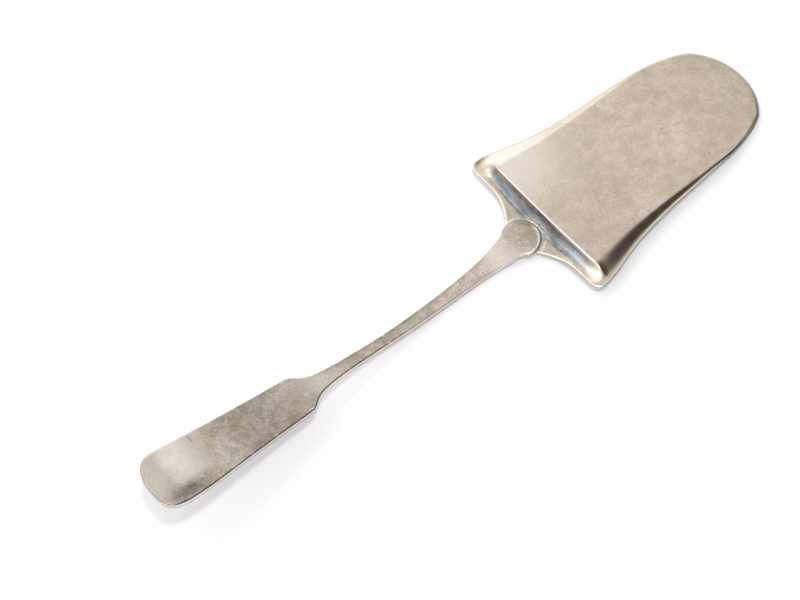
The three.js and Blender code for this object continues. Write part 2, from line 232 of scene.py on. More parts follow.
class Finishes(bpy.types.PropertyGroup):
    """Colours of the silver, of what has settled on it, and of the painted shade and highlights."""
    silver: colour_property("Silver", "Satin silver of the panel", (232, 217, 199))
    handle: colour_property("Handle", "Duller silver of the handle", (228, 217, 204))
    tarnish: colour_property("Tarnish", "Warm tarnish in soft clouds", (190, 174, 155))
    # Dark colour of grime, the mottle and the pits, used also for painted shade in creases and
    # grooves, round the heel, under edges and on shaded faces.
    grime_and_shade: colour_property("Grime", "Dark film where polish never reaches", (96, 88, 80))
    steel_blue: colour_property("Blue tarnish", "Blue-grey tarnish in the valley", (148, 160, 170))
    film: colour_property("Blue film", "Darker blue tarnish low in the valley", (102, 110, 117))
    # Blue-white of the painted highlight streaks low in the valley.
    highlight_blue: colour_property("Blue-white", "Polished streaks in the valley", (226, 235, 247))
    # Light colour of scratches, chips and the solder, used also for painted highlights and
    # reflections on edges, rims, the crease, the corners and the handle.
    bright: colour_property("Bright", "Silver rubbed bright along edges", (250, 244, 236))
    # Warm dark colour of the painted shade on the right side wall.
    shade_umber: colour_property("Umber", "Warm tarnish of the side wall in the shade", (160, 136, 116))
    floor: colour_property("Floor", "The table", (221, 220, 223))


class StageSettings(bpy.types.PropertyGroup):
    """Where the camera stands, and how strong the lights are."""
    turn: angle_property("Turn", "Camera's angle round the part", 41.05)
    rise: angle_property("Rise", "Camera's angle above the table", 61.61)
    distance: length_property("Distance", "From the camera to the table", 800)
    lens: FloatProperty(name="Lens", description="Focal length in millimetres", default=99, min=1)
    ceiling: level_property("Ceiling", "Level of the large soft light above", 1.0)
    lamp: level_property("Lamp", "Power of the soft lamp in front", 8, unit="POWER")
    glint: level_property("Glint", "Power of the small lamp on the left", 1.2, unit="POWER")
    fill: level_property("Table fill", "How much the table is lifted towards white", 0.22)


SETTINGS = {"spatula_blade": BladeSizes, "spatula_handle": HandleSizes,
            "spatula_solder": SolderSizes, "spatula_finish": Finishes,
            "spatula_stage": StageSettings}


# ---- Rules of the shape ----

def mix(a, b, share):
    return a + (b - a) * share


def smooth(value, low, high):
    t = np.clip((value - low) / (high - low), 0, 1)
    return t * t * (3 - 2 * t)


def through(stations):
    """A smooth function of back through stations of (back, value)."""
    backs, values = np.array(stations, float).T
    padded = np.concatenate([values[:1], values, values[-1:]])

    def value(back):
        span = np.clip(np.searchsorted(backs, back, side="right") - 1, 0, len(backs) - 2)
        t = np.clip((back - backs[span]) / (backs[span + 1] - backs[span]), 0, 1)
        before, start, end, after = (padded[span + k] for k in range(4))
        leave, arrive = (end - before) / 2, (after - start) / 2
        cubic = 2 * start - 2 * end + leave + arrive
        square = 3 * end - 3 * start - 2 * leave - arrive
        return ((cubic * t + square) * t + leave) * t + start
    return value


def arc_share(share, angle):
    """How far a circle's arc of that half angle stands ahead of its chord, from 1 in the middle."""
    low = math.cos(angle)
    return (np.sqrt(1 - (share * math.sin(angle)) ** 2) - low) / (1 - low)


def blade_side(nose):
    """The blade's side edge from the end of the nose's first arc to the crease, as (back, half)."""
    angle = math.radians(NOSE_ANGLE)
    start = nose * np.array([1 - math.cos(angle), math.sin(angle)])
    leave = start + WAIST["leave"] * np.array([math.sin(angle), math.cos(angle)])
    waist = np.array([WAIST["back"], WAIST["half"]])
    arrive = waist - WAIST["arrive"] * np.array([1, WAIST["slope"]])
    t = np.concatenate([np.linspace(0, 0.09, 10), np.linspace(0.12, 1, 26)])[:, None]
    shoulder = (start * (1 - t) ** 3 + 3 * leave * t * (1 - t) ** 2
                + 3 * arrive * t ** 2 * (1 - t) + waist * t ** 3)
    stations = [tuple(waist), *FLARE, (CREASE["side_back"], CREASE["rim_half"])]
    steps = np.linspace(0, len(stations) - 1, 78)[1:]
    backs = through([(i, s[0]) for i, s in enumerate(stations)])(steps)
    halves = through([(i, s[1]) for i, s in enumerate(stations)])(steps)
    return np.vstack([shoulder, np.stack([backs, halves], 1)])


def distance_to(points, line):
    """Distance in plan from each point to a line of points."""
    start, step = line[:-1], np.diff(line, axis=0)
    best = np.full(len(points), 1e9)
    for a, d in zip(start, step):
        along = np.clip((points - a) @ d / (d @ d), 0, 1)
        best = np.minimum(best, np.linalg.norm(points - a - along[:, None] * d, axis=1))
    return best


def crease_back(side):
    bowed = CREASE["back"] - CREASE["bow"] * (side / CREASE["panel_half"]) ** 2
    return np.where(side < CREASE["panel_half"], bowed, CREASE["side_back"])


def trailing_back(side):
    inside = np.maximum(0, TRAILING["flat_half"] - np.maximum(side, TONGUE["half"]))
    straight = TRAILING["back"] + TRAILING["sweep"] * inside ** 2
    turn = CORNER["half"] - CORNER["radius"]
    round_part = CORNER["back"] + np.sqrt(np.maximum(0, CORNER["radius"] ** 2
                                                     - np.maximum(0, side - turn) ** 2))
    return np.where(side < turn, straight, round_part)


def panel_height(back):
    ahead = np.maximum(0, PANEL["bend_back"] - back)
    return CREASE_HEIGHT + PANEL["slope"] * (back - CREASE["back"]) - PANEL["bend"] * ahead ** 2


def tongue_height(back):
    return TONGUE["height"] - TONGUE["fall"] * (back - TONGUE["back"])


def wall_profile(t, run):
    """How much of a side wall's drop is done; the last of its run is the flat rim."""
    return smooth(t, 0, 1 - np.minimum(RIM_FLAT, run / 3) / run)


def cove_profile(t, soft):
    """How much of the back wall's drop is done: quick behind the crease, which is rounded by
    soft, then slower and slower."""
    t = np.clip(t, 0, 1)
    eased = (np.sqrt(t ** 2 + soft ** 2) - soft) / (np.sqrt(1 + soft ** 2) - soft)
    return 1 - (1 - eased) ** COVE["power"]


def blade_height(back, side, outline):
    """Height of the blade's upper face over a point of its plan."""
    run, drop = through(WALL_RUN), through(WALL_DROP)
    soft = mix(COVE["round"], COVE["right_round"], smooth(-side, 0, 10))
    side = np.abs(side)
    half = np.interp(back, outline[:, 0], outline[:, 1])
    t = 1 - (half - side) / run(back)
    near = back < WAIST["back"]
    if near.any():
        inset = distance_to(np.stack([back[near], side[near]], 1), outline)
        t[near] = 1 - inset / run(back[near])
    panel = panel_height(back) - drop(back) * wall_profile(t, run(back))

    start = crease_back(side)
    rim = CREASE["rim_half"] - CREASE["panel_half"]
    out = (side - CREASE["panel_half"]) / rim
    top = panel_height(start) - drop(start) * wall_profile(out, rim)
    end = trailing_back(side)
    wing = smooth(side, WING["from"], WING["to"])
    last = mix(tongue_height(end), WING["height"], wing)
    length = np.maximum(end - start, 1e-3)
    foot = np.minimum(COVE["run"], length * COVE["share"])
    low = np.minimum(mix(TONGUE["height"], WING["foot"], wing), top)
    behind = back - start
    wall = mix(top, low, cove_profile(behind / foot, soft))
    ledge = mix(low, last, np.clip((behind - foot) / (length - foot), 0, 1))
    behind_height = np.where(behind < foot, wall, ledge)
    behind_height = np.where(back > end, tongue_height(back), behind_height)
    away = np.hypot(back - DOME["back"], side - DOME["side"]) / DOME["reach"]
    dome = DOME["height"] * np.maximum(0, 1 - away ** 2) ** 2
    return np.where(behind < 0, panel, behind_height) + dome


def level_row(back, sides):
    return np.stack([np.full(len(sides), back), sides], 1)


def blade_plan(nose):
    """Half rows of the blade's plan from the tip to the tongue's end, and its edge up to the
    crease."""
    side_edge = blade_side(nose)
    angle = math.radians(NOSE_ANGLE)
    depth = nose * (1 - math.cos(angle))
    tongue = np.array([0, 0.3, 0.55, 0.75, 0.9, 1]) * TONGUE["half"] / CREASE["panel_half"]
    panel = np.concatenate([tongue, np.linspace(tongue[-1], 1, 20)[1:]])
    wall = np.linspace(0, 1, 25)[1:]
    run = through(WALL_RUN)
    rows = []
    for back, half in side_edge[:-1]:
        panel_half = half - run(back)
        side = np.concatenate([panel * panel_half, mix(panel_half, half, wall)])
        sag = depth * max(0, 1 - (back - depth) / NOSE_SAG_END)
        rows.append(np.stack([back - sag * arc_share(side / half, angle), side], 1))
    side = np.concatenate([panel * CREASE["panel_half"],
                           mix(CREASE["panel_half"], CREASE["rim_half"], wall)])
    crease = np.stack([crease_back(side), side], 1)
    turn = CORNER["half"] - CORNER["radius"]
    bend = CORNER["straight"]
    straight = wall < bend
    turned = math.pi / 2 * (1 - wall) / (1 - bend)
    corner_side = np.where(straight, mix(CREASE["panel_half"], turn, wall / bend),
                           turn + CORNER["radius"] * np.cos(turned))
    corner_back = np.where(straight, TRAILING["back"],
                           CORNER["back"] + CORNER["radius"] * np.sin(turned))
    side = np.concatenate([panel * CREASE["panel_half"], corner_side])
    side[:len(tongue)] = tongue / tongue[-1] * TONGUE["half"]
    trailing = np.stack([trailing_back(side), side], 1)
    trailing[-len(wall):, 0] = corner_back
    length = trailing[:, 0] - crease[:, 0]
    foot = (np.minimum(COVE["run"], length * COVE["share"]) / length)[:, None]
    rows.append(crease)
    for share in np.linspace(0, 1, 31)[1:] ** 1.5:
        rows.append(mix(crease, trailing, foot * share))
    for share in np.linspace(0, 1, 11)[1:]:
        rows.append(mix(crease, trailing, mix(foot, 1, share)))
    half_at = through(TONGUE_SIDES)
    for back in np.linspace(TONGUE_SIDES[0][0], TONGUE["end"], 16)[1:]:
        rows.append(level_row(back, tongue / tongue[-1] * half_at(back)))
    first = np.linspace(0, angle, 24)[:-1]
    front = nose * np.stack([1 - np.cos(first), np.sin(first)], 1)
    return rows, np.vstack([front, side_edge])


def whole_grid(half_rows):
    """Points of full rows and the quads between them, from half rows of a plan."""
    widest = max(len(row) for row in half_rows) * 2 - 1
    points, cells = [], []
    for row in half_rows:
        full = np.vstack([row[:0:-1] * (1, -1), row])
        skipped = (widest - len(full)) // 2
        ids = np.full(widest, -1)
        ids[skipped:skipped + len(full)] = np.arange(len(full)) + sum(map(len, points))
        points.append(full)
        cells.append(ids)
    quads = [(a[k], a[k + 1], b[k + 1], b[k])
             for a, b in zip(cells, cells[1:]) for k in range(widest - 1)
             if min(a[k], a[k + 1], b[k + 1], b[k]) >= 0]
    return np.vstack(points), np.array(quads)


def border(quads):
    """The points round the edge of a grid, in order, with the grid on the left."""
    edges = {(q[k], q[(k + 1) % 4]) for q in quads.tolist() for k in range(4)}
    following = {a: b for a, b in edges if (b, a) not in edges}
    first = min(following)
    loop = [first]
    while following[loop[-1]] != first:
        loop.append(following[loop[-1]])
    return np.array(loop)


def point_normals(points, quads):
    across = points[quads[:, 2]] - points[quads[:, 0]]
    other = points[quads[:, 3]] - points[quads[:, 1]]
    faces = np.cross(across, other)
    normals = np.zeros_like(points)
    for k in range(4):
        np.add.at(normals, quads[:, k], faces)
    return normals / np.linalg.norm(normals, axis=1)[:, None]


def evened(values, quads, times):
    """Values at points, averaged again and again with those of their neighbours."""
    pairs = np.vstack([quads[:, [k, (k + 1) % 4]] for k in range(4)])
    for _ in range(times):
        total, count = values.copy(), np.ones(len(values))
        for a, b in (pairs.T, pairs.T[::-1]):
            np.add.at(total, a, values[b])
            np.add.at(count, a, 1)
        values = total / count[:, None]
    return values / np.linalg.norm(values, axis=1)[:, None]


def in_frame(points, faces):
    """Points of (back, side, height) in millimetres, as places in the part's frame in metres.
    The frame runs against back, so the faces are turned to face outward again."""
    places = np.stack([TIP_X - points[:, 0], points[:, 1], points[:, 2] - TABLE], 1) * MM
    return places, [face[::-1] for face in faces]


def mesh_object(name, points, faces):
    mesh = bpy.data.meshes.new(name)
    mesh.from_pydata([tuple(p) for p in points.tolist()], [], [tuple(f) for f in faces])
    mesh.validate()
    mesh.update()
    mesh.shade_smooth()
    piece = bpy.data.objects.new(name, mesh)
    bpy.context.scene.collection.objects.link(piece)
    return piece


def measured(piece):
    """Back and side of each point in millimetres, and where it faces."""
    spots = np.empty(len(piece.data.vertices) * 3)
    piece.data.vertices.foreach_get("co", spots)
    spots = spots.reshape(-1, 3) / MM
    normals = np.empty(len(spots) * 3, np.float32)
    piece.data.vertex_normals.foreach_get("vector", normals)
    return TIP_X - spots[:, 0], spots[:, 1], normals.reshape(-1, 3)


def add_edge_values(piece, lit=None):
    """Marks the upright part of an edge, painted bright as a reflection, and the part that turns
    under, painted dark as shade. With a range given, an edge that faces to the side by less than
    that is painted dark too."""
    normals = measured(piece)[2]
    facing = normals[:, 2]
    upright = smooth(facing, -0.05, 0.1) * (1 - smooth(facing, 0.4, 0.7))
    bright = smooth(normals[:, 1], *lit) if lit else np.ones(len(normals))
    under = smooth(-facing, 0.0, 0.2) * (1 - smooth(-facing, 0.8, 0.95))
    add_values(piece, {"edge": upright * bright,
                       "under": np.maximum(under, upright * (1 - bright))})


def add_values(piece, masks):
    """Keeps one value of each mask for each point, which the finish reads."""
    for name, values in masks.items():
        attribute = piece.data.attributes.new(name, "FLOAT", "POINT")
        attribute.data.foreach_set("value", np.asarray(values, np.float32))


def sheet_body(plan, quads, height, thickness, radius, warp):
    """A closed sheet over a plan, with its cut edge rounded. Returns its points and faces in
    millimetres, and how far each point is from the edge in plan."""
    loop = border(quads)
    line = plan[loop]
    tangent = np.roll(line, -1, 0) - np.roll(line, 1, 0)
    tangent /= np.linalg.norm(tangent, axis=1)[:, None]
    outward = np.stack([-tangent[:, 1], tangent[:, 0]], 1)
    middle = line.mean(0)
    if ((line - middle) * outward).sum() < 0:
        outward = -outward
    nearest = np.empty(len(plan), int)
    reach = np.empty(len(plan))
    for first in range(0, len(plan), SHEET["chunk"]):
        chunk = slice(first, first + SHEET["chunk"])
        gaps = np.linalg.norm(plan[chunk, None] - line[None], axis=2)
        nearest[chunk], reach[chunk] = gaps.argmin(1), gaps.min(1)
    pulled = radius * np.clip(1 - reach / (SHEET["pull_in"] * radius), 0, 1)
    moved = plan - outward[nearest] * pulled[:, None]
    upper = np.column_stack([warp(moved), height(moved[:, 0], moved[:, 1])])
    normals = point_normals(upper, quads)
    if normals[:, 2].mean() < 0:
        quads, normals = quads[:, ::-1], -normals
        loop, outward = loop[::-1], outward[::-1]
    through_sheet = evened(normals, quads, SHEET["times_evened"])
    count = len(upper)
    lower = upper - thickness * through_sheet
    rim_normal = through_sheet[loop]
    out = np.column_stack([outward, np.zeros(len(loop))])
    out -= rim_normal * (out * rim_normal).sum(1)[:, None]
    out /= np.linalg.norm(out[:, :2], axis=1)[:, None]
    rim = upper[loop]
    angles = np.radians(np.linspace(0, 90, SHEET["edge_steps"] + 1))[1:]
    upper_half = [(math.sin(a), radius * (1 - math.cos(a))) for a in angles]
    lower_half = [(share, thickness - down) for share, down in upper_half[::-1]]
    rings = [rim + radius * share * out - down * rim_normal
             for share, down in upper_half + lower_half]
    points = np.vstack([upper, lower, *rings])
    ids = [loop] + [2 * count + k * len(loop) + np.arange(len(loop)) for k in range(len(rings))]
    ids.append(loop + count)
    faces = quads.tolist() + (quads[:, ::-1] + count).tolist()
    for a, b in zip(ids, ids[1:]):
        following_a, following_b = np.roll(a, -1), np.roll(b, -1)
        faces += np.stack([following_a, a, b, following_b], 1).tolist()
    inset = np.concatenate([reach, reach, np.zeros(len(points) - 2 * count)])
    return points, faces, inset


def tongue_aside(plan):
    """The tongue and its root lie a little to one side of the middle line."""
    root = smooth(plan[:, 0], CREASE["back"], TONGUE["back"])
    middle = 1 - smooth(np.abs(plan[:, 1]), TONGUE["half"], 2 * TONGUE["half"])
    return np.stack([plan[:, 0], plan[:, 1] + TONGUE["aside"] * root * middle], 1)


def heel_rows(radius, shares, half_after):
    """Half rows of the heel's plan, from its round front to the end of the neck."""
    first, last = math.radians(HEEL["first"]), math.radians(HEEL["last"])
    angles = np.concatenate([np.linspace(first, first + HEEL["fine_to"], 8),
                             np.linspace(HEEL["coarse_from"], last, 16)])
    edge = [(HEEL["back"] - radius * math.cos(a), radius * math.sin(a)) for a in angles]
    depth = radius * (1 - math.cos(first))
    rows = []
    for back, half in edge:
        sag = depth * max(0, 1 - (back - edge[0][0]) / (edge[-1][0] - edge[0][0]))
        rows.append(np.stack([back - sag * arc_share(shares, first), half * shares], 1))
    for back in np.arange(HEEL["back"] + HEEL["neck_from"], NECK["end"], 0.5):
        rows.append(level_row(back, half_after(back) * shares))
    return rows


def handle_plan():
    """Half rows of the handle's plan from the heel's front to the paddle's end."""
    shares = np.sin(np.pi / 2 * np.linspace(0, 1, 21))
    half_at = through(HANDLE_HALF)
    rows = heel_rows(HEEL["radius"], shares, half_at)
    backs = np.concatenate([np.arange(122.8, 204, 1.0), np.arange(204, 222, 0.35),
                            np.arange(222, PADDLE_END["back"], 0.9)])
    rows += [level_row(back, half_at(back) * shares) for back in backs]
    depth, most, power = PADDLE_END["depth"], PADDLE_END["half"], PADDLE_END["roundness"]
    last = math.radians(PADDLE_END["last"])

    def end_back(side):
        cosine = np.clip(side / most, 0, 1) ** (1 / power)
        return PADDLE_END["back"] + depth * (1 - cosine ** 2) ** (power / 2)
    angles = np.concatenate([np.linspace(0, last - 0.08, 18), np.linspace(last - 0.06, last, 5)])
    edge_back = PADDLE_END["back"] + depth * math.sin(last) ** power
    for angle in angles:
        back = PADDLE_END["back"] + depth * math.sin(angle) ** power
        half = most * math.cos(angle) ** power
        bulge = end_back(shares * most * math.cos(last) ** power) - edge_back
        grown = (back - PADDLE_END["back"]) / (edge_back - PADDLE_END["back"])
        rows.append(np.stack([back + bulge * grown, half * shares], 1))
    return rows


def handle_aside(plan):
    """The handle's paddle and its end lean a little to one side."""
    along = np.maximum(0, plan[:, 0] - PADDLE_END["back"]) / PADDLE_END["depth"]
    aside = PADDLE["aside"] * smooth(plan[:, 0], PADDLE["from"], PADDLE["to"])
    return np.stack([plan[:, 0], plan[:, 1] + aside + PADDLE_END["lean"] * along ** 2], 1)


# ---- Node helpers ----

class Wire:
    """A node's output. Arithmetic with it adds the nodes that do the sum."""

    def __init__(self, tree, socket):
        self.tree, self.socket = tree, socket

    def __add__(self, other):
        return maths(self.tree, "ADD", self, other)

    def __sub__(self, other):
        return maths(self.tree, "SUBTRACT", self, other)

    def __rsub__(self, other):
        return maths(self.tree, "SUBTRACT", other, self)

    def __mul__(self, other):
        return maths(self.tree, "MULTIPLY", self, other)

    def __truediv__(self, other):
        return maths(self.tree, "DIVIDE", self, other)

    def __rtruediv__(self, other):
        return maths(self.tree, "DIVIDE", other, self)

    def __pow__(self, other):
        return maths(self.tree, "POWER", self, other)


def connect(tree, made, inputs):
    """Sets a node's inputs, by socket name or number, to values or to other nodes' outputs."""
    for key, value in inputs.items():
        if isinstance(value, Wire):
            tree.links.new(value.socket, made.inputs[key])
        else:
            made.inputs[key].default_value = value
    return made


def node(tree, kind, inputs=None, **settings):
    made = tree.nodes.new(kind)
    for key, value in settings.items():
        setattr(made, key, value)
    return connect(tree, made, inputs or {})


def out(tree, kind, inputs=None, output=0, **settings):
    """Adds a node and gives one of its outputs."""
    return Wire(tree, node(tree, kind, inputs, **settings).outputs[output])


def maths(tree, operation, *values):
    return out(tree, "ShaderNodeMath", dict(enumerate(values)), operation=operation)


def vector_maths(tree, operation, *values, output=0):
    return out(tree, "ShaderNodeVectorMath", dict(enumerate(values)), output,
               operation=operation)


def ramp(tree, value, low, high, to_low=0.0, to_high=1.0, kind="SMOOTHSTEP"):
    """A value's range turned into another one."""
    return out(tree, "ShaderNodeMapRange",
               {"Value": value, "From Min": low, "From Max": high, "To Min": to_low,
                "To Max": to_high}, interpolation_type=kind)


def noise(tree, scale, detail, roughness, place):
    return out(tree, "ShaderNodeTexNoise", {"Vector": place, "Scale": scale, "Detail": detail,
                                            "Roughness": roughness})


def coated(tree, tone, coat, share):
    """A colour with a share of another one over it."""
    return out(tree, "ShaderNodeMix", {0: share, 6: tone, 7: (*coat, 1)}, 2, data_type="RGBA")


def mix_value(tree, share, first, second):
    return out(tree, "ShaderNodeMix", {0: share, 2: first, 3: second}, data_type="FLOAT")


def attribute_value(tree, name):
    return out(tree, "ShaderNodeAttribute", output="Fac", attribute_name=name)


def object_place(tree):
    return out(tree, "ShaderNodeTexCoord", output="Object")


def group_tree(name, kind, inputs, outputs):
    """A node group with named sockets, given as numbers to start from, or as types. Returns it, a
    function for its inputs by name, and its end."""
    tree = bpy.data.node_groups.new(name, kind)
    for direction, sockets in (("INPUT", inputs), ("OUTPUT", outputs)):
        for label, value in sockets.items():
            socket = "NodeSocket" + (value if isinstance(value, str) else "Float")
            made = tree.interface.new_socket(name=label, in_out=direction, socket_type=socket)
            if not isinstance(value, str):
                made.default_value = value
    start = tree.nodes.new("NodeGroupInput")
    return (tree, lambda label: Wire(tree, start.outputs[label]),
            tree.nodes.new("NodeGroupOutput"))


# ---- Finish ----

def clouds_group(name):
    """Soft clouds of tarnish, with a mottle and a grain in them."""
    tree, given, end = group_tree(name, "ShaderNodeTree", {"Size": 0.01, "Contrast": 0.2},
                                  {"Mask": "Float", "Mottle": "Float", "Grain": "Float"})
    place, scale = object_place(tree), 1.0 / given("Size")
    soft = {"Mask": (0.5 - given("Contrast"), given("Contrast") + 0.5)}
    for label, (finer, detail, roughness) in CLOUD_LAYERS.items():
        pattern = noise(tree, scale * finer, detail, roughness, place)
        connect(tree, end, {label: ramp(tree, pattern, *soft.get(label, FINE_LIMITS))})
    return tree


def scratches_group(name):
    """Long thin scratches in one direction, broken up by a coarser pattern."""
    tree, given, end = group_tree(
        name, "ShaderNodeTree",
        {"Angle": 0.0, "Spacing": 0.002, "Length": 14.0, "Width": 0.02, "Amount": 0.5},
        {"Mask": "Float"})
    turned = out(tree, "ShaderNodeVectorRotate",
                 {"Vector": object_place(tree), "Angle": given("Angle")}, rotation_type="Z_AXIS")
    drawn = out(tree, "ShaderNodeCombineXYZ", {0: 1.0 / given("Length"), 1: 1.0, 2: 0.3})
    scale = 1.0 / given("Spacing")
    lines = noise(tree, scale, 1.0, 0.4, vector_maths(tree, "MULTIPLY", turned, drawn))
    thin = ramp(tree, maths(tree, "ABSOLUTE", lines - 0.5), 0.0, given("Width"), 1.0, 0.0)
    limit = 0.75 - given("Amount") * 0.5
    kept = ramp(tree, noise(tree, scale * 0.45, 2.0, 0.5, turned), limit, limit + 0.08)
    connect(tree, end, {"Mask": thin * kept})
    return tree


def pits_group(name):
    """Small round dents and specks."""
    tree, given, end = group_tree(name, "ShaderNodeTree", {"Spacing": 0.003, "Size": 0.12},
                                  {"Mask": "Float"})
    cell = node(tree, "ShaderNodeTexVoronoi",
                {"Vector": object_place(tree), "Scale": 1.0 / given("Spacing")})
    chosen = out(tree, "ShaderNodeSeparateColor", {0: Wire(tree, cell.outputs["Color"])})
    dot = ramp(tree, Wire(tree, cell.outputs["Distance"]), 0.0, given("Size"), 1.0, 0.0)
    connect(tree, end, {"Mask": dot * ramp(tree, chosen, 0.6, 0.75)})
    return tree


def stroke_group(name):
    """One straight stroke between two places, thinner towards its end; it draws cuts in the surface
    and painted glints.
    """
    tree, given, end = group_tree(
        name, "ShaderNodeTree", {"From": "Vector", "To": "Vector", "Width": 0.0001},
        {"Mask": "Float"})
    flat = vector_maths(tree, "MULTIPLY", object_place(tree), (1.0, 1.0, 0.0))
    reach = vector_maths(tree, "SUBTRACT", flat, given("From"))
    line = vector_maths(tree, "SUBTRACT", given("To"), given("From"))
    share = (vector_maths(tree, "DOT_PRODUCT", reach, line, output="Value")
             / vector_maths(tree, "DOT_PRODUCT", line, line, output="Value"))
    share = maths(tree, "MINIMUM", maths(tree, "MAXIMUM", share, 0.0), 1.0)
    nearest = out(tree, "ShaderNodeVectorMath", {0: line, 3: share}, operation="SCALE")
    off = vector_maths(tree, "DISTANCE", reach, nearest, output="Value")
    width = given("Width") * ramp(tree, share, 0.0, 1.0, 1.0, 0.5)
    connect(tree, end, {"Mask": ramp(tree, off / width, 0.5, 1.3, 1.0, 0.0)})
    return tree


GROUPS = {"Clouds": clouds_group, "Scratches": scratches_group, "Pits": pits_group,
          "Cut": stroke_group}


def use_group(tree, name, inputs):
    """Places one of the node groups, made the first time, and gives its outputs by name."""
    group = bpy.data.node_groups.get(name) or GROUPS[name](name)
    made = node(tree, "ShaderNodeGroup", inputs, node_tree=group)
    return {socket.name: Wire(tree, socket) for socket in made.outputs}


def new_material(name):
    """A material, with its tree and its shader."""
    material = bpy.data.materials.new(name)
    material.use_nodes = True
    return material, material.node_tree, material.node_tree.nodes["Principled BSDF"]


def place_at(back, side):
    return (TIP_X - back) * MM, side * MM, 0


def silver(name, colour, recipe):
    """Silver after one of the recipes above, with its tarnish and wear, and with painted shade,
    highlights and reflections in its patches.
    """
    finish = bpy.context.scene.spatula_finish
    material, tree, shader = new_material(name)
    clouds = use_group(tree, "Clouds", {"Size": recipe["cloud_size"], "Contrast": 0.22})
    mottle, grain = clouds["Mottle"], clouds["Grain"]
    tone = coated(tree, (*colour, 1), finish.tarnish, clouds["Mask"] * recipe["clouds"])
    tone = coated(tree, tone, finish.grime_and_shade, mottle * recipe["mottle"])
    tone = coated(tree, tone, finish.grime_and_shade, grain * recipe["grain"])
    rough = clouds["Mask"] * 0.05 + recipe["rough"]
    for attribute, coat, amount, coat_rough in recipe["patches"]:
        uneven = ramp(tree, mottle, 0.0, 1.0, 0.7 * amount, amount)
        share = attribute_value(tree, attribute) * uneven
        tone = coated(tree, tone, getattr(finish, coat), share)
        rough = rough + share * coat_rough
    height = grain * recipe["relief"]
    marks = []
    for angle, spacing, length, width, amount, light, attribute in recipe["scratches"]:
        lines = use_group(tree, "Scratches", {"Angle": angle, "Spacing": spacing, "Width": width,
                                              "Length": length, "Amount": amount})["Mask"]
        if attribute:
            lines = lines * attribute_value(tree, attribute)
        marks.append((lines, light, 0.5))
    for start, end, width, light in recipe["cuts_and_glints"]:
        stroke = use_group(tree, "Cut", {"From": place_at(*start), "To": place_at(*end),
                                      "Width": width * MM})["Mask"]
        marks.append((stroke, light, 1.0))
    pits = use_group(tree, "Pits", {"Spacing": recipe["pit_spacing"], "Size": 0.13})["Mask"]
    marks.append((pits, -recipe["pits"], 0.8))
    for mark, light, depth in marks:
        tone = coated(tree, tone, finish.bright if light > 0 else finish.grime_and_shade, mark * abs(light))
        height = height - mark * depth
    bump = out(tree, "ShaderNodeBump", {"Height": height, "Strength": 0.35, "Distance": 0.00003})
    connect(tree, shader,
            {"Metallic": 1.0, "Base Color": tone, "Roughness": rough, "Normal": bump})
    return material


# ---- The pieces ----

def band(value, low, high, fall_low, fall_high):
    """Rises to 1 from low to high, and falls again from fall_low to fall_high."""
    return smooth(value, low, high) * (1 - smooth(value, fall_low, fall_high))


def spot(value, centre, width):
    """1 at the centre, and softly less away from it."""
    return np.exp(-((value - centre) / width) ** 2)


def round_heel(back, side):
    """Distance from the heel's centre, and the angle in degrees from its front."""
    ring = np.hypot(back - HEEL["back"], side)
    return ring, np.degrees(np.arctan2(side, HEEL["back"] - back))


